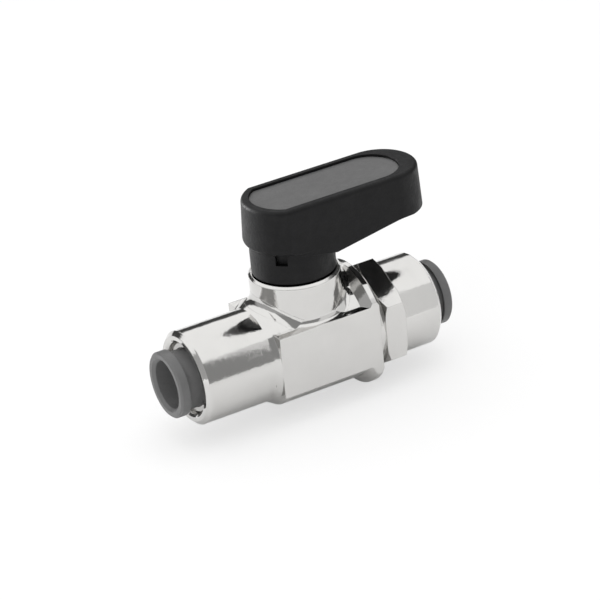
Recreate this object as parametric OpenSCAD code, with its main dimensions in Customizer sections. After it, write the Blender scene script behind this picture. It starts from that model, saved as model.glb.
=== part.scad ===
// Small inline ball valve with a push-in socket at each end for plastic tube.
// The origin is the centre of the left socket's metal rim, +X runs along the tube and +Z along
// the stem.

/* [Tube sockets] */
// Outer diameter of the tube
tube_d = 8; // [6:0.5:10]
// Radial play of the tube in its bores
tube_play = 0.08; // [0.05:0.01:0.15]
// Wall of the collar's sleeve
sleeve_wall = 0.9; // [0.7:0.1:1.2]
// Wall of the pressed-in cartridge
cartridge_wall = 1.15; // [0.8:0.05:1.5]
// Wall of the metal socket round the cartridge
socket_wall = 1.79; // [1.2:0.01:2.5]
// End of the cartridge behind the metal rim
cartridge_len = 5.2; // [4.5:0.1:6]
// Depth of the cartridge's face behind the metal rim
cartridge_in = 0.9; // [0.1:0.1:1.2]
// Length of the tube's guide bore behind the seal
guide_len = 3.6; // [3:0.1:4]
// How far the O-ring is squeezed by the tube
seal_squeeze = 0.1; // [0.05:0.01:0.2]
// Bevel on the socket's outer rim
rim_bevel = 0.7; // [0.3:0.1:1]

/* [Release collars] */
// How far a collar's face stands out of the metal
collar_reach = 3.5; // [2.8:0.1:4]
// Thickness of the collar's flange
flange_t = 1.7; // [1.2:0.1:2]
// How far the flange stands out over the sleeve
flange_lip = 0.65; // [0.4:0.05:0.9]
// Stroke that frees the tube
collar_stroke = 1.2; // [0.8:0.1:1.4]
// Number of collet fingers
fingers = 6; // [4:1:8]
// Width of the slots between fingers
finger_slot = 0.6; // [0.4:0.1:0.9]
// Outward step of the finger heads
head_step = 0.6; // [0.4:0.05:0.8]
// Thickness of the toothed steel ring
grip_t = 0.3; // [0.2:0.05:0.4]
// How deep the teeth stand into the tube
tooth_bite = 0.1; // [0.05:0.01:0.15]

/* [Wrench faces] */
// Wrench size of the body's pads and of the hexagon
wrench_af = 17; // [17:0.5:18]

/* [Body] */
// Distance from the stem to the left metal rim
left_reach = 22.1; // [22:0.1:30]
// Distance from the stem to the right metal rim
right_reach = 23; // [22:0.1:30]
// Radius of the barrel round the ball
barrel_r = 9.2; // [9:0.1:10.5]
// Left end of the full barrel, from the stem
barrel_left = 7.3; // [7:0.1:8]
// Length of the cone between the left socket and the barrel
barrel_cone = 2; // [1.2:0.1:2.6]
// Left end of the pads, from the stem
pad_left = 8.4; // [8:0.1:9]
// Right end of the body, from the stem
body_right = 10.5; // [10:0.1:12]
// Radius of the turned rim at the body's right end
end_rim_r = 10.7; // [10.2:0.1:11.5]
// Width of that rim
end_rim_w = 1.3; // [1:0.1:3]
// Height of the pads above the tube's axis
pad_up = 5.9; // [5:0.1:6.5]
// Depth of the pads below the tube's axis
pad_down = 5; // [4:0.1:6]
// Radius of the stem boss
boss_r = 7.6; // [7:0.1:8]
// Top of the boss above the tube's axis
boss_top = 13; // [12:0.1:16]
// Fillet at the foot of the boss
boss_fillet = 1.2; // [0.6:0.1:1.5]

/* [End connector] */
// Width of the hexagon
hex_w = 3.9; // [3:0.1:5]
// Radius of the round flange that seats on the body
seat_flange_r = 8.3; // [8.1:0.1:8.5]
// Width of that flange
seat_flange_w = 1; // [0.6:0.1:1.5]
// Outer radius of the connector's thread
thread_r = 7.1; // [7:0.05:7.3]
// Length of the thread
thread_len = 3.6; // [3:0.1:4]
// Thickness of the O-ring under the flange
flange_seal_cord = 0.9; // [0.7:0.1:1]

/* [Ball and stem] */
// Diameter of the ball
ball_d = 10.4; // [10:0.1:10.6]
// Diameter of the flow bore
flow_d = 5.5; // [4:0.1:6]
// Outer radius of the ball seats
seat_r = 4.6; // [4.3:0.1:4.8]
// Distance from the stem to the back of a seat
seat_back = 6.2; // [6:0.05:6.4]
// Radius of the chamber round the ball
chamber_r = 6.2; // [6:0.05:6.5]
// Diameter of the stem
stem_d = 5; // [4.6:0.1:5.4]
// Radius of the stem's shoulder
shoulder_r = 3.4; // [3.2:0.05:3.6]
// Thickness of the shoulder
shoulder_t = 1.2; // [0.8:0.1:1.4]
// Thickness of the thrust washer
washer_t = 0.6; // [0.4:0.05:0.8]
// Thickness of the stem's tongue
tongue_t = 2.2; // [1.8:0.1:2.6]
// Width of the stem's tongue
tongue_w = 4.8; // [4:0.1:5]
// Thickness of the stem's O-rings
stem_ring_cord = 0.9; // [0.7:0.05:1]
// Distance across the flats at the top of the stem
stem_flats = 3.8; // [3.4:0.1:4.2]
// Length of those flats
stem_flats_len = 5; // [4:0.1:5.2]

/* [Handle] */
// Top of the handle above the tube's axis
handle_top = 26.3; // [25.5:0.1:30]
// Half width of the lever's top
lever_half = 6.55; // [6.2:0.05:7]
// Distance from the stem to the top of the lever's tip
lever_reach = 23.8; // [21:0.1:40]
// Radius of the hub's back at the top
hub_r = 7.5; // [7.2:0.1:8]
// Draft of the sides in degrees
lever_draft = 3; // [1:0.5:4]
// Height of the hub's back edge above the skirt's foot
skirt_h = 5.2; // [4:0.1:5.6]
// Underside of the lever at the hub, above the skirt's foot
arm_low = 3.6; // [3.2:0.1:4]
// Slope of the lever's underside in degrees
arm_slope = 9; // [4:0.5:11]
// Radius of the arch under the tip
arch_r = 11; // [9:0.5:16]
// Distance from the arch's start to the lever's tip
arch_len = 7.6; // [6:0.1:9]
// Rounding of the lever's top edge
edge_round = 0.7; // [0.7:0.1:1]
// Wall between the insert and the lever's side
lever_wall = 1.35; // [1:0.05:1.5]
// Wall between the insert and the lever's tip
tip_wall = 3.3; // [2.4:0.1:4]
// Thickness of the insert
insert_t = 1.6; // [1.2:0.1:2]
// Depth of the insert's face below the lever's top
insert_drop = 0.45; // [0.1:0.05:0.8]
// Width of the ledge that carries the insert
ledge_w = 0.9; // [0.6:0.1:1.2]
// Thickness of the lever's floor
floor_t = 1.6; // [1.2:0.1:2.2]
// Width of the pry slot in the skirt
pry_w = 2; // [1.4:0.1:2.4]
// Height of the pry slot
pry_h = 2; // [1.5:0.1:2.4]
// Foot of the pry slot above the skirt's foot
pry_up = 3.3; // [2.4:0.1:3.6]

/* [Quarter-turn stop] */
// Turn of the handle in degrees
turn = 90; // [80:1:95]
// Width of the stop on the boss in degrees
stop_width = 60; // [40:1:80]
// Height of the stop
stop_h = 1.8; // [1.2:0.1:2]
// Inner radius of the stop
stop_in = 4.2; // [4:0.1:4.4]
// Outer radius of the stop
stop_out = 5.4; // [5.2:0.1:5.6]

/* [Hidden] */
$fn = 96;
eps = 0.01;         // overlap that joins shapes of one solid
run_play = 0.05;    // radial play of a shaft in its hole
seat_play = 0.03;   // play of a loose piece in its seat
face_gap = 0.3;     // gap between faces on different bodies

// Tube sockets, from the bore outwards
bore_r = tube_d / 2 + tube_play;
sleeve_r = bore_r + sleeve_wall;
guide_r = sleeve_r + run_play + seat_play;
pocket_r = guide_r + cartridge_wall;
tube_seal_cord = pocket_r - tube_d / 2 + seal_squeeze;
end_r = pocket_r + socket_wall;
flange_r = sleeve_r + flange_lip;
head_r = sleeve_r + head_step;
head_room = 0.2;    // free way of the collet's heads past the cartridge
head_len = 1.2;
collar_end = cartridge_len + head_room + head_len;
backup_t = 0.8;
backup_at = collar_end + collar_stroke + face_gap;
seal_at = backup_at + backup_t;
pocket_len = seal_at + tube_seal_cord + seat_play;
socket_len = pocket_len + guide_len;
slot_from = 1.2;    // solid stretch of the sleeve inside the rim
finger_relief = 0.2;
mouth_bevel = 0.5;

// Ball, seats and chamber
ball_r = ball_d / 2;
flow_r = flow_d / 2;
seat_face = 3.2;    // front of a seat, from the stem
nose_at = 3.4;      // front of the connector's nose
slot_depth = 1.9;
slot_floor = ball_r - slot_depth;
tongue_top = ball_r + 0.3;

// Stem, from the tongue upwards
stem_r = stem_d / 2;
shoulder_top = tongue_top + shoulder_t;
washer_top = shoulder_top + washer_t;
roof = washer_top + 0.1;
ring_zs = [roof + 1.4, roof + 3.4];
groove_r = stem_r - stem_ring_cord + run_play / 2;
flats_from = boss_top + 0.1;
stem_top = flats_from + stem_flats_len;

// Connector
thread_from = body_right - thread_len;
hex_from = body_right + seat_flange_w;
hex_to = hex_from + hex_w;
recess_d = flange_seal_cord + seat_play;
recess_r = thread_r + flange_seal_cord + 0.2;

// Handle
skirt_foot = boss_top + face_gap;
back_low = skirt_foot + skirt_h;
arm_z = skirt_foot + arm_low;
lean = tan(lever_draft);
skirt_in = 0.05;    // the skirt lies this far inside the lever's sides
skirt_r = lever_half + (handle_top - arm_z) * lean - skirt_in;
skirt_top = back_low + 1;
arm_from = 4.5;     // where the lever's underside leaves the skirt
tip_x = lever_reach - lever_half;
arch_from = lever_reach - arch_len;
back_round = 0.9;
insert_top = handle_top - insert_drop;
insert_low = insert_top - insert_t;
insert_half = lever_half - lever_wall;
insert_back = hub_r - lever_wall;
insert_tip = lever_reach - tip_wall - insert_half;
web_low = stem_top + 0.2;
web_top = web_low + 1.2;
screw_r = 1.2;
screw_head_r = 2.2;
screw_head_t = 1.5;
screw_len = 5;
pry_angle = -134;
stop_mid = 0;       // the stop points at the lever's side when the valve is open

brass = [0.86, 0.86, 0.84];
dark = [0.16, 0.16, 0.17];
grey = [0.52, 0.52, 0.53];
steel = [0.66, 0.67, 0.69];
white = [0.93, 0.93, 0.91];
rubber = [0.1, 0.1, 0.1];

// Places a shape drawn round the stem's foot
module at_stem() translate([left_reach, 0, 0]) children();

// Turns a shape drawn along +Z so that it runs along +X
module along_x() rotate([0, 90, 0]) children();

// Places a shape drawn inwards from a socket's rim along +X
module at_left() children();
module at_right() translate([left_reach + right_reach, 0, 0]) mirror([1, 0, 0]) children();

// Round solid along X between two stations
module bar_x(x0, x1, r) translate([x0, 0, 0]) along_x() cylinder(h = x1 - x0, r = r);
module cone_x(x0, x1, r0, r1) translate([x0, 0, 0]) along_x() cylinder(h = x1 - x0, r1 = r0, r2 = r1);

// Ring round Z with a round section
module torus(r, cord) rotate_extrude() translate([r, 0]) circle(d = cord);

// Part of a ring round Z, centred on an angle
module ring_sector(r_in, r_out, h, mid, width)
    rotate([0, 0, mid - width / 2])
        rotate_extrude(angle = width)
            translate([r_in, 0]) square([r_out - r_in, h]);

// Tube sockets

// Metal outside of a socket, from its rim inwards
module socket_outside(len)
    along_x() rotate_extrude()
        polygon([[0, 0], [end_r - rim_bevel, 0], [end_r, rim_bevel], [end_r, len], [0, len]]);

// Everything that is hollow in a socket
module socket_hollow() {
    bar_x(-eps, pocket_len, pocket_r);
    bar_x(0, socket_len, bore_r);
    cone_x(-eps, 0.4, pocket_r + 0.4, pocket_r);
}

// Collet with its flange; the fingers hold the toothed ring
module collar_solid() {
    grip_at = collar_end - 0.75;
    difference() {
        along_x() rotate_extrude()
            polygon([[bore_r + mouth_bevel, -collar_reach], [flange_r - 0.3, -collar_reach],
                     [flange_r, 0.3 - collar_reach], [flange_r, flange_t - collar_reach],
                     [sleeve_r, flange_t - collar_reach], [sleeve_r, collar_end - head_len - head_step],
                     [head_r, collar_end - head_len], [head_r, collar_end - 0.3],
                     [head_r - 0.3, collar_end], [bore_r + finger_relief, collar_end],
                     [bore_r + finger_relief, slot_from], [bore_r, slot_from],
                     [bore_r, mouth_bevel - collar_reach]]);
        for (i = [0 : fingers - 1])
            rotate([(i + 0.5) * 360 / fingers, 0, 0])
                translate([slot_from, -finger_slot / 2, 0]) cube([collar_end, finger_slot, 2 * head_r]);
        bar_x(grip_at - seat_play, grip_at + grip_t + seat_play, sleeve_r - 0.1 + seat_play);
    }
}
module grip_solid() {
    grip_at = collar_end - 0.75;
    teeth = 3 * fingers;
    translate([grip_at, 0, 0]) difference() {
        bar_x(0, grip_t, sleeve_r - 0.1);
        bar_x(-1, 1, tube_d / 2 - tooth_bite);
        // Notches leave pointed teeth between them
        for (i = [0 : teeth - 1])
            rotate([(i + 0.5) * 360 / teeth, 0, 0])
                translate([0, 0, bore_r - 0.35]) rotate([45, 0, 0])
                    cube([2, 0.5, 0.5], center = true);
        // The gap lets the ring close with the fingers
        rotate([180 / fingers, 0, 0])
            translate([-1, -finger_slot / 2, 0]) cube([2, finger_slot, sleeve_r]);
    }
}
module cartridge_solid()
    along_x() rotate_extrude()
        polygon([[guide_r, cartridge_in], [pocket_r - 0.4, cartridge_in], [pocket_r, cartridge_in + 0.4],
                 [pocket_r, cartridge_len],
                 [guide_r + head_step, cartridge_len], [guide_r, cartridge_len - head_step]]);
module backup_solid()
    along_x() rotate_extrude()
        translate([bore_r + finger_relief, backup_at])
            square([pocket_r - bore_r - finger_relief, backup_t]);
module tube_seal_solid()
    translate([seal_at + tube_seal_cord / 2, 0, 0]) along_x()
        torus(pocket_r - tube_seal_cord / 2, tube_seal_cord);

module left_collar() color(grey) at_left() collar_solid();
module right_collar() color(grey) at_right() collar_solid();
module left_grip() color(steel) at_left() grip_solid();
module right_grip() color(steel) at_right() grip_solid();
module left_cartridge() color(brass) at_left() cartridge_solid();
module right_cartridge() color(brass) at_right() cartridge_solid();
module left_backup() color(white) at_left() backup_solid();
module right_backup() color(white) at_right() backup_solid();
module left_tube_seal() color(rubber) at_left() tube_seal_solid();
module right_tube_seal() color(rubber) at_right() tube_seal_solid();

// Body

module pad_slab(x0, x1)
    translate([x0, -wrench_af / 2, -20]) cube([x1 - x0, wrench_af, 40]);

// Boss with a fillet at its foot
module boss_solid()
    rotate_extrude() difference() {
        square([boss_r + boss_fillet, boss_top]);
        translate([boss_r + boss_fillet, pad_up + boss_fillet]) circle(boss_fillet);
        translate([boss_r, pad_up + boss_fillet]) square([boss_fillet + 1, boss_top]);
        translate([boss_r - 0.4, boss_top]) rotate(-45) square([2, 2]);
    }

module body() color(brass) {
    rim_from = body_right - end_rim_w;
    flare = end_rim_r - barrel_r;
    difference() {
        union() {
            at_left() socket_outside(left_reach - barrel_left);
            at_stem() intersection() {
                union() {
                    cone_x(-barrel_left - barrel_cone, -barrel_left, end_r, barrel_r);
                    bar_x(-barrel_left - eps, rim_from - flare + eps, barrel_r);
                    cone_x(rim_from - flare, rim_from, barrel_r, end_rim_r);
                    bar_x(rim_from - eps, body_right - 0.4, end_rim_r);
                    cone_x(body_right - 0.4 - eps, body_right, end_rim_r, end_rim_r - 0.4);
                    translate([-pad_left, -wrench_af / 2, -pad_down])
                        cube([pad_left + rim_from, wrench_af, pad_up + pad_down]);
                    boss_solid();
                }
                pad_slab(-left_reach, right_reach);
            }
            at_stem() translate([0, 0, boss_top - eps])
                ring_sector(stop_in, stop_out, stop_h, stop_mid, stop_width);
        }
        at_left() socket_hollow();
        at_stem() {
            bar_x(-left_reach + socket_len - eps, 0, flow_r);
            bar_x(-seat_back, 0, seat_r + seat_play);
            bar_x(-nose_at, body_right, chamber_r);
            bar_x(thread_from, body_right + 1, thread_r + run_play);
            bar_x(body_right - recess_d, body_right + 1, recess_r);
            cylinder(h = roof, r = shoulder_r + run_play);
            cylinder(h = boss_top + 1, r = stem_r + run_play);
        }
    }
}

// End connector

module hexagon_x(x0, x1) translate([x0, 0, 0]) along_x()
    cylinder(h = x1 - x0, r = wrench_af / sqrt(3), $fn = 6);

module end_connector() color(brass)
    difference() {
        union() {
            at_right() socket_outside(right_reach - hex_to + 1);
            at_stem() {
                intersection() {
                    hexagon_x(hex_from, hex_to);
                    hex_corner = wrench_af / sqrt(3);
                    union() {
                        cone_x(hex_from, hex_from + 0.5, hex_corner - 0.9, hex_corner);
                        bar_x(hex_from + 0.5 - eps, hex_to - 0.5 + eps, hex_corner + eps);
                        cone_x(hex_to - 0.5, hex_to, hex_corner, hex_corner - 0.9);
                    }
                }
                bar_x(body_right, hex_from + eps, seat_flange_r);
                bar_x(thread_from + 0.2, body_right + eps, thread_r);
                bar_x(nose_at, thread_from + 0.2 + eps, chamber_r - run_play);
            }
        }
        at_right() socket_hollow();
        at_stem() {
            bar_x(0, right_reach - socket_len + eps, flow_r);
            bar_x(0, seat_back, seat_r + seat_play);
        }
    }

module connector_seal() color(rubber)
    at_stem() translate([body_right - flange_seal_cord / 2, 0, 0]) along_x()
        torus(thread_r + flange_seal_cord / 2 + 0.05, flange_seal_cord - 0.02);

// Ball, seats and stem

module ball() color(steel) at_stem()
    difference() {
        sphere(r = ball_r);
        bar_x(-ball_r - 1, ball_r + 1, flow_r);
        translate([-tongue_t / 2 - run_play, -ball_r, slot_floor])
            cube([tongue_t + 2 * run_play, 2 * ball_r, slot_depth + 1]);
    }

module seat_solid() difference() {
    bar_x(-seat_back, -seat_face, seat_r);
    bar_x(-seat_back - 1, 0, flow_r);
    sphere(r = ball_r + run_play);
}
module left_seat() color(white) at_stem() seat_solid();
module right_seat() color(white) at_stem() mirror([1, 0, 0]) seat_solid();

module stem() color(brass) at_stem()
    difference() {
        union() {
            intersection() {
                translate([-tongue_t / 2, -tongue_w / 2, slot_floor + 0.1])
                    cube([tongue_t, tongue_w, tongue_top - slot_floor]);
                cylinder(h = tongue_top + 1, r = shoulder_r);
            }
            translate([0, 0, tongue_top]) cylinder(h = shoulder_t, r = shoulder_r);
            difference() {
                translate([0, 0, tongue_top]) cylinder(h = stem_top - tongue_top, r = stem_r);
                for (s = [-1, 1])
                    translate([-stem_d, s > 0 ? stem_flats / 2 : -stem_flats / 2 - stem_d, flats_from])
                        cube([2 * stem_d, stem_d, stem_flats_len + 1]);
            }
        }
        for (z = ring_zs)
            translate([0, 0, z - stem_ring_cord / 2]) difference() {
                cylinder(h = stem_ring_cord, r = stem_r + 1);
                translate([0, 0, -eps]) cylinder(h = stem_ring_cord + 2 * eps, r = groove_r);
            }
        translate([0, 0, web_top - screw_len - 0.5]) cylinder(h = screw_len + 1, r = screw_r + seat_play);
    }

module stem_washer() color(white) at_stem()
    translate([0, 0, shoulder_top]) difference() {
        cylinder(h = washer_t, r = shoulder_r);
        translate([0, 0, -1]) cylinder(h = washer_t + 2, r = stem_r + seat_play);
    }

module stem_ring(z) color(rubber) at_stem()
    translate([0, 0, z]) torus(groove_r + stem_ring_cord / 2, stem_ring_cord - 0.02);
module lower_stem_ring() stem_ring(ring_zs[0]);
module upper_stem_ring() stem_ring(ring_zs[1]);

// Handle

// What rounds an edge of a drafted side that stands at this half width and height; way is 1
// for an upper edge and -1 for a lower one
module edge_corner(half, z, round, way) {
    c = [half + way * round * lean - round / cos(lever_draft), z - way * round];
    difference() {
        polygon([c, [c[0], z + way], [half + 2, z + way],
                 c + (round + 1) * [cos(lever_draft), sin(lever_draft)]]);
        translate(c) circle(round);
    }
}

// Section across the lever, and half of the section through a round end
module lever_section() {
    low = lever_half + handle_top * lean;
    difference() {
        polygon([[-low, 0], [low, 0], [lever_half, handle_top], [-lever_half, handle_top]]);
        edge_corner(lever_half, handle_top, edge_round, 1);
        mirror([1, 0]) edge_corner(lever_half, handle_top, edge_round, 1);
    }
}
module end_section(half) difference() {
    polygon([[0, 0], [half + handle_top * lean, 0], [half, handle_top], [0, handle_top]]);
    edge_corner(half, handle_top, edge_round, 1);
}

// Lever seen from above as a solid block: drafted sides, round tip and round hub
module lever_block() {
    rotate([90, 0, 90]) linear_extrude(tip_x) lever_section();
    translate([tip_x, 0, 0]) rotate_extrude() end_section(lever_half);
    intersection() {
        rotate_extrude() difference() {
            end_section(hub_r);
            edge_corner(hub_r + (handle_top - back_low) * lean, back_low, back_round, -1);
        }
        translate([-2 * hub_r, 0, 0]) rotate([90, 0, 90]) linear_extrude(2 * hub_r + eps) lever_section();
    }
}

// Plan of the insert or of the room below it, grown by a margin
module insert_plan(grow) {
    half = insert_half + grow;
    intersection() {
        union() {
            translate([0, -half]) square([insert_tip, 2 * half]);
            translate([insert_tip, 0]) circle(half);
            translate([-hub_r, -half]) square([hub_r + eps, 2 * half]);
        }
        union() {
            circle(insert_back + grow);
            translate([0, -lever_half]) square([lever_reach, 2 * lever_half]);
        }
    }
}

// Side outline of the lever: flat top, back edge over the skirt, rising underside, arched tip
module lever_side() {
    arch_z = arm_z + tan(arm_slope) * (arch_from - arm_from);
    difference() {
        polygon([[-2 * hub_r, back_low], [-arm_from, back_low], [arm_from, arm_z], [arch_from, arch_z],
                 [2 * lever_reach, arch_z], [2 * lever_reach, handle_top + 1], [-2 * hub_r, handle_top + 1]]);
        translate([arch_from + arch_r * sin(arm_slope), arch_z - arch_r * cos(arm_slope)])
            circle(arch_r);
    }
}

module handle() color(dark) at_stem() {
    rise = tan(arm_slope) * (insert_tip + insert_half - arm_from);
    room_from = screw_head_r + 1.2;
    difference() {
        union() {
            intersection() {
                lever_block();
                rotate([90, 0, 0]) linear_extrude(4 * hub_r, center = true) lever_side();
            }
            translate([0, 0, skirt_foot]) cylinder(h = arm_low + eps, r = skirt_r);
            translate([0, 0, arm_z])
                cylinder(h = skirt_top - arm_z, r1 = skirt_r, r2 = skirt_r - (skirt_top - arm_z) * lean);
        }
        // Seat of the insert
        translate([0, 0, insert_low]) linear_extrude(insert_t + 1) insert_plan(seat_play);
        // Room under the insert, deeper towards the hub side of the arm
        intersection() {
            translate([0, 0, web_top]) linear_extrude(insert_low - web_top + 1) insert_plan(-ledge_w);
            translate([-hub_r, -lever_half, web_top]) cube([lever_reach + hub_r, 2 * lever_half, 20]);
        }
        intersection() {
            translate([0, 0, arm_z]) linear_extrude(insert_low - arm_z) insert_plan(-ledge_w);
            rotate([90, 0, 0]) linear_extrude(2 * lever_half, center = true)
                polygon([[skirt_r + 0.6, web_top + 1], [skirt_r + 0.6, arm_z + floor_t + tan(arm_slope) * 3.2],
                         [insert_tip + insert_half, arm_z + floor_t + rise],
                         [insert_tip + insert_half, web_top + 1]]);
        }
        // Stem socket, screw hole and the track of the stop
        translate([0, 0, skirt_foot - 1]) linear_extrude(web_low - skirt_foot + 1) intersection() {
            circle(stem_r + seat_play);
            square([2 * stem_d, stem_flats + 2 * seat_play], center = true);
        }
        translate([0, 0, web_low - eps]) cylinder(h = 2, r = screw_r + 0.1);
        translate([0, 0, skirt_foot - eps])
            ring_sector(stop_in - 0.2, stop_out + 0.2, stop_h + 0.2, stop_mid + turn / 2,
                        stop_width + turn + 4);
        // Pry slot
        rotate([0, 0, pry_angle]) translate([skirt_r - 1, -pry_w / 2, skirt_foot + pry_up]) cube([4, pry_w, pry_h]);
    }
}

module handle_insert() color(grey) at_stem()
    translate([0, 0, insert_low]) linear_extrude(insert_t) insert_plan(0);

module handle_screw() color(steel) at_stem()
    difference() {
        union() {
            translate([0, 0, web_top - screw_len]) cylinder(h = screw_len + eps, r = screw_r);
            translate([0, 0, web_top]) cylinder(h = screw_head_t - 0.5, r = screw_head_r);
            translate([0, 0, web_top + screw_head_t - 0.5 - eps])
                cylinder(h = 0.5, r1 = screw_head_r, r2 = screw_head_r - 0.4);
        }
        translate([0, 0, web_top + screw_head_t - 0.9]) cylinder(h = 1, r = 1, $fn = 6);
    }

body();
end_connector();
connector_seal();
ball();
left_seat();
right_seat();
stem();
stem_washer();
lower_stem_ring();
upper_stem_ring();
handle();
handle_insert();
handle_screw();
left_collar();
right_collar();
left_grip();
right_grip();
left_cartridge();
right_cartridge();
left_backup();
right_backup();
left_tube_seal();
right_tube_seal();
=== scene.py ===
# %% [markdown]
# # A small push-in ball valve
# The object is a ball valve for 8 mm plastic tube. A nickel-plated brass body holds a ball, a
# black nylon lever turns it, and a grey collar at each end frees the tube when it is pushed in.
# The exact solids were made in CAD and are loaded here as a fixed frame. Blender's part is what
# CAD can't say: how each surface was made, how it has worn, and how light falls on it.

# %% Load the frame
import math

import bpy
import numpy as np
from mathutils import Matrix, Vector


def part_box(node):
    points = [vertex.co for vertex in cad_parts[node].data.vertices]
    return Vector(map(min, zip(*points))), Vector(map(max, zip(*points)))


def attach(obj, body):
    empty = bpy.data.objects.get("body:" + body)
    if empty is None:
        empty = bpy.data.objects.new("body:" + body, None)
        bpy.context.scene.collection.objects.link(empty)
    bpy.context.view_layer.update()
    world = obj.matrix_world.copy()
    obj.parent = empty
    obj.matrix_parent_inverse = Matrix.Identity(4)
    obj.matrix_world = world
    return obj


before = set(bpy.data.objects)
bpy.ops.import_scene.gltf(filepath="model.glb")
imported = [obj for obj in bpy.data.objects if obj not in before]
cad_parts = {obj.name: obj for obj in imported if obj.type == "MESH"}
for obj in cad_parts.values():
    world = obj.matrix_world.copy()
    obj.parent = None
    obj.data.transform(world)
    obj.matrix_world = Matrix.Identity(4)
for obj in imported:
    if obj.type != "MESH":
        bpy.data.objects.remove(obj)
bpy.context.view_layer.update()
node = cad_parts
MM = 0.001
print("pieces from CAD:", len(node))

# %% [markdown]
# ## Places that everything is measured from
# The stem's axis and the tube's axis cross in the ball. Places are read from the frame where it
# has them, so that the scene follows the CAD model. Only the fillet's few sizes are repeated.

# %% Axis of the stem, and the lowest point
ball_low, ball_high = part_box("ball")
stem_x = (ball_low[0] + ball_high[0]) / 2
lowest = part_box("body")[0][2]
print("stem axis at", round(stem_x / MM, 2), "mm, lowest point at", round(lowest / MM, 2), "mm")

# %% [markdown]
# ## The camera
# A photograph of a small part is taken with a long lens from half a metre away, so its lines
# hardly converge. The angles below were found by fitting circles of known place to the outline
# of the part. The camera was held a few degrees off level, so it has a roll as well. The part
# sits low in the picture: the camera is moved sideways and up in its own plane to frame it.

# %% Camera from azimuth, elevation, roll and distance
PICTURE = 600
CAMERA_AZIMUTH = math.radians(-28.14)
CAMERA_ELEVATION = math.radians(26.42)
CAMERA_ROLL = math.radians(-5.70)
CAMERA_DISTANCE = 0.4441
FOCAL_PIXELS = 2685.2
STEM_FOOT_PIXEL = (301.0, 337.8)     # where the two axes cross in the picture
SENSOR_MM = 36
NEAREST, FARTHEST = 0.01, 20         # metres, what the camera can see


def camera_axes(azimuth, elevation, roll):
    """Right, up and back of a camera that looks at the part: the level directions from the two
    angles, then right and up turned about back by the roll."""
    back = np.array([math.sin(azimuth) * math.cos(elevation),
                     -math.cos(azimuth) * math.cos(elevation), math.sin(elevation)])
    right = np.array([math.cos(azimuth), math.sin(azimuth), 0.0])
    up = np.cross(back, right)
    c, s = math.cos(roll), math.sin(roll)
    return c * right + s * up, c * up - s * right, back


right, up, back = camera_axes(CAMERA_AZIMUTH, CAMERA_ELEVATION, CAMERA_ROLL)
metres_per_pixel = CAMERA_DISTANCE / FOCAL_PIXELS
aside = (PICTURE / 2 - STEM_FOOT_PIXEL[0]) * metres_per_pixel
above = (STEM_FOOT_PIXEL[1] - PICTURE / 2) * metres_per_pixel
stand = np.eye(4)
stand[:3, :3] = np.stack([right, up, back], 1)
stand[:3, 3] = np.array([stem_x, 0, 0]) + back * CAMERA_DISTANCE + right * aside + up * above

camera_data = bpy.data.cameras.new("camera")
camera_data.sensor_width = SENSOR_MM
camera_data.lens = FOCAL_PIXELS / PICTURE * SENSOR_MM
camera_data.clip_start, camera_data.clip_end = NEAREST, FARTHEST
camera = bpy.data.objects.new("camera", camera_data)
camera.matrix_world = Matrix(stand.tolist())
bpy.context.scene.collection.objects.link(camera)
bpy.context.scene.camera = camera
print("lens", round(camera_data.lens, 1), "mm, camera", round(CAMERA_DISTANCE, 3), "m away")

# %% [markdown]
# ## Colours and nodes
# A colour is written as an sRGB hex value, while light adds up in linear values, so one
# function turns the first into the second. Every node in this file is added by one other
# function, which takes the node's kind, its settings, and the value or link of each input.

# %% Colours, nodes and empty materials
def srgb(text):
    """Linear red, green and blue of an sRGB hex colour: each channel through the sRGB curve."""
    c = np.array([int(text[i:i + 2], 16) for i in (1, 3, 5)]) / 255
    linear = np.where(c <= 0.04045, c / 12.92, ((c + 0.055) / 1.055) ** 2.4)
    return (*(float(v) for v in linear), 1.0)


def add_node(tree, kind, settings=None, **inputs):
    """Adds one node to a tree, sets its settings, and sets or links its inputs by socket name
    (a blank in a name is written as an underscore, the socket's number as in_0)."""
    n = tree.nodes.new(kind)
    for key, value in (settings or {}).items():
        setattr(n, key, value)
    for key, value in inputs.items():
        name = int(key[3:]) if key.startswith("in_") else key.replace("_", " ")
        if isinstance(value, bpy.types.NodeSocket):
            tree.links.new(value, n.inputs[name])
        else:
            n.inputs[name].default_value = value
    return n


def new_material(name):
    """An empty node material and its tree."""
    material = bpy.data.materials.new(name)
    material.use_nodes = True
    material.node_tree.nodes.clear()
    return material, material.node_tree


print("a mid grey in linear light:", round(srgb("#808080")[0], 4))

# %% [markdown]
# ## The floor
# The photograph is a cut-out on white, so its own floor can't be seen. Something pale lay under
# the part, because the underside of the metal is bright. A sheet with a true shadow looks too
# heavy here, and none at all leaves the part in the air. So the sheet stays real for the lamps
# and for the metal that mirrors it, and only the camera sees its shadow lifted.

# %% Matt paper with a lifted shadow
SHADOW_LIFT = 0.6                    # share of plain white that the camera sees in the sheet
FIBRE_MM, FIBRE_DEPTH_MM, FIBRE_STRENGTH = 2, 0.05, 0.1      # drawn coarser than real paper
PAPER_ROUGHNESS = 0.9
FLOOR_REACH = 3.0                    # metres

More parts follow.
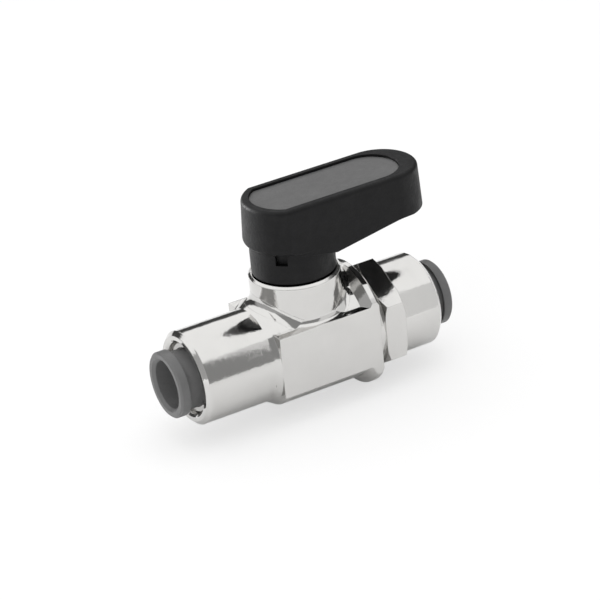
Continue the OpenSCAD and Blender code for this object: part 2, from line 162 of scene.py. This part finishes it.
paper, tree = new_material("matt_paper")
spot = add_node(tree, "ShaderNodeTexCoord").outputs["Object"]
fibre = add_node(tree, "ShaderNodeTexNoise", Vector=spot, Scale=1 / (FIBRE_MM * MM))
relief = add_node(tree, "ShaderNodeBump", Height=fibre.outputs["Fac"], Strength=FIBRE_STRENGTH,
                  Distance=FIBRE_DEPTH_MM * MM)
sheet = add_node(tree, "ShaderNodeBsdfPrincipled", Base_Color=srgb("#fafafa"),
                 Roughness=PAPER_ROUGHNESS, Normal=relief.outputs[0])
white = add_node(tree, "ShaderNodeEmission", Color=srgb("#ffffff"), Strength=1.0)
eye = add_node(tree, "ShaderNodeLightPath").outputs["Is Camera Ray"]
lifted = add_node(tree, "ShaderNodeMath", {"operation": "MULTIPLY"}, in_0=eye, in_1=SHADOW_LIFT)
both = add_node(tree, "ShaderNodeMixShader", in_0=lifted.outputs[0], in_1=sheet.outputs[0],
                in_2=white.outputs[0])
add_node(tree, "ShaderNodeOutputMaterial", Surface=both.outputs[0])

corners = np.array([(-1, -1), (1, -1), (1, 1), (-1, 1)]) * FLOOR_REACH
floor_mesh = bpy.data.meshes.new("floor")
floor_mesh.from_pydata([(x, y, lowest) for x, y in corners.tolist()], [], [(0, 1, 2, 3)])
floor_mesh.materials.append(paper)
floor = bpy.data.objects.new("floor", floor_mesh)
bpy.context.scene.collection.objects.link(floor)
print("floor at", round(lowest / MM, 2), "mm")

# %% [markdown]
# ## The room
# A mirror shows the room, so the room is what draws bright nickel. Across a round bar the
# picture goes from dark to white and back, and each shade there is one height in the room: a
# wide soft box overhead, the pale floor below, and the dark ends of the room between the two.
# The world holds that room as a few soft steps of brightness over the direction that a ray
# looks in. Their places and values were adjusted until the tones of the part were right, so
# this is one room that gives those tones, and no record of the real one. The camera itself sees
# plain white there, as in the cut-out.

# %% Soft box, gap and window as steps over the ray's direction
SOFT_BOX, BOX_FROM, BOX_TO = 1.25, 0.52, 0.60                # brightness, and the height of its edge
BOX_TILT = 0.22                                              # the box hangs lower at the back
FRONT_GAP, BACK_GAP, GAP_FRONT, GAP_BACK = 0.33, 0.07, -0.35, 0.25      # dim, darkest behind
WINDOW, WINDOW_FROM, WINDOW_TO = 0.5, -0.5, -0.75            # on the left
SMOOTH = {"interpolation_type": "SMOOTHSTEP"}
LARGER = {"operation": "MAXIMUM"}

world = bpy.data.worlds.new("studio")
bpy.context.scene.world = world
world.use_nodes = True
room = world.node_tree
room.nodes.clear()
way = add_node(room, "ShaderNodeTexCoord").outputs["Generated"]
ray = add_node(room, "ShaderNodeSeparateXYZ", Vector=way)
height = add_node(room, "ShaderNodeMath", {"operation": "MULTIPLY_ADD"}, in_0=ray.outputs["Y"],
                  in_1=BOX_TILT, in_2=ray.outputs["Z"])
box = add_node(room, "ShaderNodeMapRange", SMOOTH, Value=height.outputs[0], From_Min=BOX_FROM,
               From_Max=BOX_TO, To_Min=0.0, To_Max=SOFT_BOX)
gap = add_node(room, "ShaderNodeMapRange", SMOOTH, Value=ray.outputs["Y"], From_Min=GAP_FRONT,
               From_Max=GAP_BACK, To_Min=FRONT_GAP, To_Max=BACK_GAP)
window = add_node(room, "ShaderNodeMapRange", SMOOTH, Value=ray.outputs["X"],
                  From_Min=WINDOW_FROM, From_Max=WINDOW_TO, To_Min=0.0, To_Max=WINDOW)
lit = add_node(room, "ShaderNodeMath", LARGER, in_0=box.outputs[0], in_1=gap.outputs[0])
lit = add_node(room, "ShaderNodeMath", LARGER, in_0=lit.outputs[0], in_1=window.outputs[0])
eye = add_node(room, "ShaderNodeLightPath").outputs["Is Camera Ray"]
seen = add_node(room, "ShaderNodeMath", LARGER, in_0=lit.outputs[0], in_1=eye)
backdrop = add_node(room, "ShaderNodeBackground", Color=seen.outputs[0], Strength=1.0)
add_node(room, "ShaderNodeOutputWorld", Surface=backdrop.outputs[0])
bpy.context.scene.view_settings.view_transform = "Standard"
print("room: soft box", SOFT_BOX, "gap", FRONT_GAP, "in front,", BACK_GAP, "behind")

# %% [markdown]
# ## The white card
# Product photographers stand white cards beside bright metal to take a dark band off it. One
# stands in front to the right, and lightens the end connector. Only mirrors see it.

# %% White card in front to the right
CARD_LEFT, CARD_RIGHT, CARD_Y, CARD_TOP = 0.058, 0.26, -0.093, 0.12          # metres
CARD_LIGHT = 0.9

white_card, tree = new_material("white_card")
glow = add_node(tree, "ShaderNodeEmission", Color=srgb("#ffffff"), Strength=CARD_LIGHT)
add_node(tree, "ShaderNodeOutputMaterial", Surface=glow.outputs[0])
card_mesh = bpy.data.meshes.new("card")
card_mesh.from_pydata([(CARD_LEFT, CARD_Y, lowest), (CARD_RIGHT, CARD_Y, lowest),
                       (CARD_RIGHT, CARD_Y, CARD_TOP), (CARD_LEFT, CARD_Y, CARD_TOP)],
                      [], [(0, 1, 2, 3)])
card_mesh.materials.append(white_card)
card = bpy.data.objects.new("card", card_mesh)
card.visible_camera = card.visible_diffuse = card.visible_shadow = False
bpy.context.scene.collection.objects.link(card)
print("card", round((CARD_RIGHT - CARD_LEFT) / MM), "mm wide")

# %% [markdown]
# ## The lamps
# Plastic isn't a mirror, so lamps shape it: one wide lamp above, and one from the left. A
# third, low behind on the left, draws a sheen along the lever's end. Light linking lets it
# light the lever alone, because on the metal it would be one more white spot.

# %% Three soft lamps
def soft_lamp(name, at, width, watts, mirrored=False):
    """A square lamp at a place in metres, turned so that it looks at the ball. Mirrors show it
    only if mirrored is true, because the room above already draws what they show."""
    data = bpy.data.lights.new(name, "AREA")
    data.energy, data.size = watts, width
    lamp = bpy.data.objects.new(name, data)
    aim = Vector((stem_x, 0, 0)) - Vector(at)
    lamp.matrix_world = Matrix.Translation(at) @ aim.to_track_quat("-Z", "Y").to_matrix().to_4x4()
    lamp.visible_glossy = mirrored
    bpy.context.scene.collection.objects.link(lamp)
    return lamp


soft_lamp("lamp_above", at=(0.05, -0.05, 0.7), width=0.6, watts=0.7)
soft_lamp("lamp_left", at=(-0.5, -0.35, 0.12), width=0.4, watts=1.7)
lamp_rim = soft_lamp("lamp_rim", at=(-0.32, 0.46, 0.05), width=0.3, watts=6.0, mirrored=True)
lever_only = bpy.data.collections.new("lever_only")
lever_only.objects.link(node["handle"])
lamp_rim.light_linking.receiver_collection = lever_only

# %% [markdown]
# ## Patterns that every finish shares
# A finish is a few patterns, each with a size in millimetres: the real one, or a coarser one
# where that wouldn't show. Handling leaves uneven patches and short scratches, a lathe leaves
# rings, and no edge is perfectly sharp: it is broken by a tenth of a millimetre or two, and
# wears first. All of them are read from the piece's own coordinates, so that they stay put when
# the piece moves.

# %% Patches, lathe rings and soft edges
EDGE_MM = 0.15                       # radius of a broken edge
EDGE_SAMPLES = 6
EDGE_FLAT, EDGE_TURNED = 0.99, 0.85  # how level the rounded normal is on a face and on an edge
FINE_SHARE = 0.6                     # how strongly each finer layer of a pattern counts


def mottled(tree, width_mm, detail=3.0, stretch=(1, 1, 1)):
    """Uneven value between 0 and 1 whose patches are about width_mm wide, and longer along an
    axis where stretch is above 1."""
    spot = add_node(tree, "ShaderNodeTexCoord").outputs["Object"]
    drawn = add_node(tree, "ShaderNodeMapping", Vector=spot, Scale=tuple(1 / v for v in stretch))
    return add_node(tree, "ShaderNodeTexNoise", Vector=drawn.outputs[0], Detail=detail,
                    Scale=1 / (width_mm * MM), Roughness=FINE_SHARE).outputs["Fac"]


def lathe_rings(tree, axis, pitch_mm):
    """Fine rings left by a lathe: a sine along the axis, one wave for each pitch_mm."""
    spot = add_node(tree, "ShaderNodeTexCoord").outputs["Object"]
    along = add_node(tree, "ShaderNodeSeparateXYZ", Vector=spot).outputs[axis]
    phase = add_node(tree, "ShaderNodeMath", {"operation": "MULTIPLY"}, in_0=along,
                     in_1=2 * math.pi / (pitch_mm * MM))
    return add_node(tree, "ShaderNodeMath", {"operation": "SINE"}, in_0=phase.outputs[0]).outputs[0]


def soft_edge(tree):
    """Normal of the surface with its edges rounded by EDGE_MM, and how close a point is to an
    edge: 0 on a face, rising to 1 where the rounded normal leaves the true one."""
    rounded = add_node(tree, "ShaderNodeBevel", {"samples": EDGE_SAMPLES},
                       Radius=EDGE_MM * MM).outputs[0]
    true = add_node(tree, "ShaderNodeNewGeometry").outputs["True Normal"]
    level = add_node(tree, "ShaderNodeVectorMath", {"operation": "DOT_PRODUCT"}, in_0=rounded,
                     in_1=true)
    near = add_node(tree, "ShaderNodeMapRange", SMOOTH, Value=level.outputs["Value"],
                    From_Min=EDGE_FLAT, From_Max=EDGE_TURNED, To_Min=0.0, To_Max=1.0)
    return rounded, near.outputs[0]


print("edges broken by", EDGE_MM, "mm")

# %% [markdown]
# ## Nickel-plated brass
# The body is forged and the end connector is turned from bar, both in brass, and then plated
# with bright nickel. Plating follows what is under it: fine turning rings round the tube's
# axis, and a faint orange peel that makes the edge of every reflection waver. Nickel is a
# little warmer than chrome. Handling has left short scratches and duller patches. The same
# recipe, with other numbers, makes every metal here, because all of them were cut, pressed or
# polished.

# %% One recipe for a worked metal
PATCH_MM, PATCH_FROM, PATCH_TO, PATCH_WEAR = 5.0, 0.45, 0.75, 0.7
SCRATCH_MM, SCRATCH_DRAWN, SCRATCH_FROM, SCRATCH_TO = 0.35, (9, 3, 3), 0.60, 0.72
PEEL_MM = 1.7          # width of the plating's orange peel; the real one is finer, and wouldn't show


def worked_metal(name, light, dark, smooth, dull, axis, ring_mm, ring_depth_mm, peel_depth_mm):
    """A worked metal: two close tones in patches, roughness from smooth to dull in patches, in
    scratches and on edges, turning rings along an axis, and a slow waviness."""
    material, tree = new_material(name)
    rounded, edge = soft_edge(tree)
    patch = mottled(tree, PATCH_MM)
    scratch = mottled(tree, SCRATCH_MM, detail=2.0, stretch=SCRATCH_DRAWN)
    rubbed = add_node(tree, "ShaderNodeMapRange", SMOOTH, Value=patch, From_Min=PATCH_FROM,
                      From_Max=PATCH_TO, To_Min=0.0, To_Max=PATCH_WEAR)
    cut = add_node(tree, "ShaderNodeMapRange", SMOOTH, Value=scratch, From_Min=SCRATCH_FROM,
                   From_Max=SCRATCH_TO, To_Min=0.0, To_Max=1.0)
    worn = add_node(tree, "ShaderNodeMath", LARGER, in_0=rubbed.outputs[0], in_1=cut.outputs[0])
    worn = add_node(tree, "ShaderNodeMath", LARGER, in_0=worn.outputs[0], in_1=edge)
    rough = add_node(tree, "ShaderNodeMapRange", SMOOTH, Value=worn.outputs[0], From_Min=0.0,
                     From_Max=1.0, To_Min=smooth, To_Max=dull)
    peel = add_node(tree, "ShaderNodeBump", Height=mottled(tree, PEEL_MM),
                    Distance=peel_depth_mm * MM, Normal=rounded)
    rings = add_node(tree, "ShaderNodeBump", Height=lathe_rings(tree, axis, ring_mm),
                     Distance=ring_depth_mm * MM, Normal=peel.outputs[0])
    tone = add_node(tree, "ShaderNodeMix", {"data_type": "RGBA"}, Factor=patch, in_6=srgb(light),
                    in_7=srgb(dark))
    shader = add_node(tree, "ShaderNodeBsdfPrincipled", Base_Color=tone.outputs[2], Metallic=1.0,
                      Roughness=rough.outputs[0], Normal=rings.outputs[0])
    add_node(tree, "ShaderNodeOutputMaterial", Surface=shader.outputs[0])
    return material


def give(material, *names):
    """Puts one material on CAD nodes."""
    for name in names:
        data = node[name].data
        data.materials.clear()
        data.materials.append(material)
    print(material.name, "on", len(names), "pieces")


print("patches", PATCH_MM, "mm, scratches", SCRATCH_MM, "mm, orange peel", PEEL_MM, "mm wide")

# %% Bright nickel on the body and the connector, and a darker nickel with painted shade on the cartridges
# Bright plating is a mirror that wavers a little. Its turning rings are drawn three times as
# wide as a fine cut leaves them, so that they show at all.
bright_nickel = worked_metal("bright_nickel_on_brass", "#d3d2d0", "#c9c8c6", smooth=0.09,
                             dull=0.18, axis="X", ring_mm=0.3, ring_depth_mm=0.0006,
                             peel_depth_mm=0.03)
give(bright_nickel, "body", "end_connector")

# The pressed rings are plated loose in a barrel, which leaves them duller. Their colour is greyer
# partly from that plating and partly as painted shade, for the dark recess they sit in round the
# collar.
pressed_nickel_painted_shade = worked_metal("nickel_on_pressed_ring_painted_shade", "#b9b8b6", "#a9a8a6", smooth=0.15,
                              dull=0.28, axis="X", ring_mm=0.2, ring_depth_mm=0.001,
                              peel_depth_mm=0.01)
give(pressed_nickel_painted_shade, "left_cartridge", "right_cartridge")

# %% [markdown]
# ## The forged fillet round the boss
# A forging has no sharp inside corners, because metal has to flow round them in the die. On the
# flat tops of the wrench pads the CAD solid has this fillet. On the barrel's crown the foot of
# the boss rises and falls like a saddle, and CAD's simple ring can't follow it. Here one curved
# strip does: at each angle round the stem it starts on the boss, ends on the barrel, and
# touches both smoothly.

# %% Height of the barrel's outside at a place on its crown
BOSS_R, BARREL_R, SOCKET_R, RIM_R = 7.6, 9.2, 8.0, 10.7           # mm, as in the CAD model
CONE_FROM, BARREL_FROM, FLARE_FROM, FLARE_TO = -9.3, -7.3, 7.7, 9.2
FILLET, PAD_HALF = 1.2, 8.3          # its radius, and how far out it may go on the pads' sides


def crown(x, y):
    """Top of the barrel in mm: its radius changes along x over the cone on the left and the
    flare on the right, and the height is that of a circle with this radius, at y."""
    radius = np.interp(x, [CONE_FROM, BARREL_FROM, FLARE_FROM, FLARE_TO],
                       [SOCKET_R, BARREL_R, BARREL_R, RIM_R])
    return np.sqrt(radius ** 2 - y ** 2)


print("crown over the axis:", round(float(crown(0.0, 0.0)), 2), "mm")
print("crown at the pads:", round(float(crown(0.0, PAD_HALF)), 2), "mm")

# %% [markdown]
# A strip that runs round the boss and has a hidden back is a ring with a closed section. A grid
# of points, one row for each angle and one column for each place on the section, holds it, and
# both ways the last point joins the first. So it has no open edge and no seam.

# %% Surfaces that close on themselves both ways
CREASE_ANGLE = math.radians(40)


def closed_grid(name, grid, material, body):
    """A mesh from points on a closed grid (rows, columns, xyz in metres). Each quad joins a
    point to the next column and the next row, and the last row and column join the first.
    Faces are turned outwards if the volume comes out negative."""
    rows, columns = grid.shape[:2]
    i, j = np.meshgrid(np.arange(rows), np.arange(columns), indexing="ij")
    here, across = i * columns + j, i * columns + (j + 1) % columns
    down = (i + 1) % rows * columns
    faces = np.stack([here, across, down + (j + 1) % columns, down + j], -1).reshape(-1, 4)
    points = grid.reshape(-1, 3)
    a, b, c, d = (points[faces[:, k]] for k in range(4))
    halves = np.einsum("ij,ij->i", a, np.cross(b, c)), np.einsum("ij,ij->i", a, np.cross(c, d))
    volume = sum(half.sum() for half in halves) / 6          # a sixth of the triple products
    mesh = bpy.data.meshes.new(name)
    mesh.from_pydata(points.tolist(), [], (faces if volume > 0 else faces[:, ::-1]).tolist())
    mesh.shade_smooth()
    mesh.set_sharp_from_angle(angle=CREASE_ANGLE)
    mesh.materials.append(material)
    piece = bpy.data.objects.new(name, mesh)
    bpy.context.scene.collection.objects.link(piece)
    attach(piece, body)
    print(name, len(faces), "faces,", round(abs(volume) / MM ** 3, 1), "mm3")
    return piece


print("an edge sharper than", round(math.degrees(CREASE_ANGLE)), "degrees stays sharp")

# %% [markdown]
# The section's visible side is a smooth curve with three handles: a point up the boss, the
# corner where boss and barrel would meet, and a point out on the barrel. It leaves the first
# straight down and reaches the last along the barrel. On the pads' sides it stops short, where
# the CAD solid's own fillet takes over.

# %% The fillet itself
ANGLES, STEPS = 240, 13
TUCK_IN, TUCK_DOWN = 0.4, 0.6        # mm, how far the hidden back goes into the metal
TINY = 1e-6

around = np.linspace(0, 2 * np.pi, ANGLES, endpoint=False)[:, None]
to_side = PAD_HALF / np.maximum(np.abs(np.sin(around)), TINY)
reach = np.minimum(FILLET, to_side - BOSS_R)


def on_crown(radius):
    """Crown height at a distance from the stem's axis, for every angle round it."""
    return crown(radius * np.cos(around), radius * np.sin(around))


corner, foot = on_crown(BOSS_R), on_crown(BOSS_R + reach)
t = np.linspace(0, 1, STEPS)[None, :]
out_r = BOSS_R + reach * t ** 2                  # a curve with its two ends and its corner as handles
out_z = (1 - t) ** 2 * (corner + reach) + 2 * t * (1 - t) * corner + t ** 2 * foot
inner_r = np.full_like(reach, BOSS_R - TUCK_IN)
ring_r = np.concatenate([out_r, BOSS_R + reach, inner_r, inner_r], 1)
ring_z = np.concatenate([out_z, foot - TUCK_IN, corner - TUCK_DOWN, corner + reach], 1)
ring = np.stack([stem_x / MM + ring_r * np.cos(around), ring_r * np.sin(around), ring_z], -1) * MM
closed_grid("boss_fillet", ring, bright_nickel, "body")

# %% [markdown]
# ## The metals inside
# The ball is brass under hard chrome, polished so that the seats can seal on it. The stem is
# bare turned brass. The toothed rings that hold the tube are stamped from stainless spring
# steel, and the handle's screw is zinc-plated steel.

# %% Ball, stem, toothed rings and screw
# Hard chrome is the cleanest mirror of all, and a little blue.
chrome = worked_metal("polished_hard_chrome", "#dfe1e4", "#d3d5d8", smooth=0.03, dull=0.07,
                      axis="Z", ring_mm=0.2, ring_depth_mm=0.0002, peel_depth_mm=0.002)
give(chrome, "ball")

# Bare brass straight off the lathe is yellow, and its rings spread each highlight.
brass = worked_metal("turned_brass", "#e0bd74", "#cfa75c", smooth=0.18, dull=0.30,
                     axis="Z", ring_mm=0.18, ring_depth_mm=0.003, peel_depth_mm=0.004)
give(brass, "stem")

# Stamped strip is a plain grey, dull along its rolled grain.
spring = worked_metal("stamped_spring_steel", "#c4c5c6", "#adaeb0", smooth=0.22, dull=0.36,
                      axis="Y", ring_mm=0.12, ring_depth_mm=0.002, peel_depth_mm=0.004)
give(spring, "left_grip", "right_grip")

# Zinc plate is satin and bluish, with patches.
zinc = worked_metal("zinc_plated_steel", "#d3d6da", "#bcc3c6", smooth=0.25, dull=0.40,
                    axis="Z", ring_mm=0.15, ring_depth_mm=0.002, peel_depth_mm=0.006)
give(zinc, "handle_screw")

# %% [markdown]
# ## Moulded plastics
# The lever is glass-filled nylon: almost black, with a fine grain from the mould, dulled a
# little where fingers rub it. Its insert and the collars are grey acetal, smoother, with faint
# flow marks. A plastic's gloss stays even, so only the roughness moves, between close limits.

# %% One recipe for moulded plastic
RUB_MM, RUB_FROM, RUB_TO, RUB_SHARE = 3.5, 0.48, 0.72, 0.6
SHEEN_MM, SHEEN_FROM, SHEEN_TO = 1.6, 0.3, 0.7


def moulded(name, colour, worn_colour, low, high, grain_mm, grain_depth_mm, gloss=0.5):
    """Moulded plastic: a main colour with paler rubbed patches and edges, mould grain as bump,
    roughness that changes between two close values, and gloss as the specular level."""
    material, tree = new_material(name)
    rounded, edge = soft_edge(tree)
    rubbed = add_node(tree, "ShaderNodeMapRange", SMOOTH, Value=mottled(tree, RUB_MM, detail=4.0),
                      From_Min=RUB_FROM, From_Max=RUB_TO, To_Min=0.0, To_Max=RUB_SHARE)
    worn = add_node(tree, "ShaderNodeMath", LARGER, in_0=rubbed.outputs[0], in_1=edge)
    tone = add_node(tree, "ShaderNodeMix", {"data_type": "RGBA"}, Factor=worn.outputs[0],
                    in_6=srgb(colour), in_7=srgb(worn_colour))
    rough = add_node(tree, "ShaderNodeMapRange", SMOOTH, Value=mottled(tree, SHEEN_MM),
                     From_Min=SHEEN_FROM, From_Max=SHEEN_TO, To_Min=low, To_Max=high)
    grain = add_node(tree, "ShaderNodeBump", Height=mottled(tree, grain_mm, detail=2.0),
                     Distance=grain_depth_mm * MM, Normal=rounded)
    shader = add_node(tree, "ShaderNodeBsdfPrincipled", Base_Color=tone.outputs[2],
                      Roughness=rough.outputs[0], Normal=grain.outputs[0],
                      Specular_IOR_Level=gloss)
    add_node(tree, "ShaderNodeOutputMaterial", Surface=shader.outputs[0])
    return material


print("rubbed patches", RUB_MM, "mm, gloss patches", SHEEN_MM, "mm wide")

# %% Nylon and acetal
# Glass fibres near the skin give nylon a broad, weak sheen. The grain of these moulds is about
# 0.1 mm, and is drawn near 0.4 mm so that it shows.
nylon = moulded("glass_filled_nylon_black", "#101011", "#181819", low=0.42, high=0.56,
                grain_mm=0.4, grain_depth_mm=0.05, gloss=0.2)
give(nylon, "handle")

# Acetal is slippery and slightly shiny, and a flat cap of it looks satin.
cap = moulded("acetal_grey_insert", "#5e5e5e", "#656565", low=0.40, high=0.52,
              grain_mm=0.4, grain_depth_mm=0.05, gloss=0.3)
give(cap, "handle_insert")
collar = moulded("acetal_grey_collar", "#646464", "#6b6b6b", low=0.34, high=0.46,
                 grain_mm=0.35, grain_depth_mm=0.03, gloss=0.35)
give(collar, "left_collar", "right_collar")

# %% [markdown]
# ## Seals
# The seats, the washer and the backup rings are turned from PTFE, which is white and waxy. The
# O-rings are nitrile rubber, black with a dull moulded skin. Neither is a mirror or a metal, so
# the recipe for moulded plastic serves both, with a finer grain.

# %% PTFE and rubber
# Turned PTFE gives no sharp highlight, only a wide pale one.
ptfe = moulded("turned_ptfe", "#efeee8", "#e6e5de", low=0.38, high=0.50,
               grain_mm=0.25, grain_depth_mm=0.008)
give(ptfe, "left_seat", "right_seat", "stem_washer", "left_backup", "right_backup")

# Moulded rubber swallows light, and shows its shape by a faint rim alone.
rubber = moulded("nitrile_rubber", "#1b1b1c", "#202021", low=0.50, high=0.62,
                 grain_mm=0.2, grain_depth_mm=0.01)
give(rubber, "connector_seal", "lower_stem_ring", "upper_stem_ring", "left_tube_seal",
     "right_tube_seal")
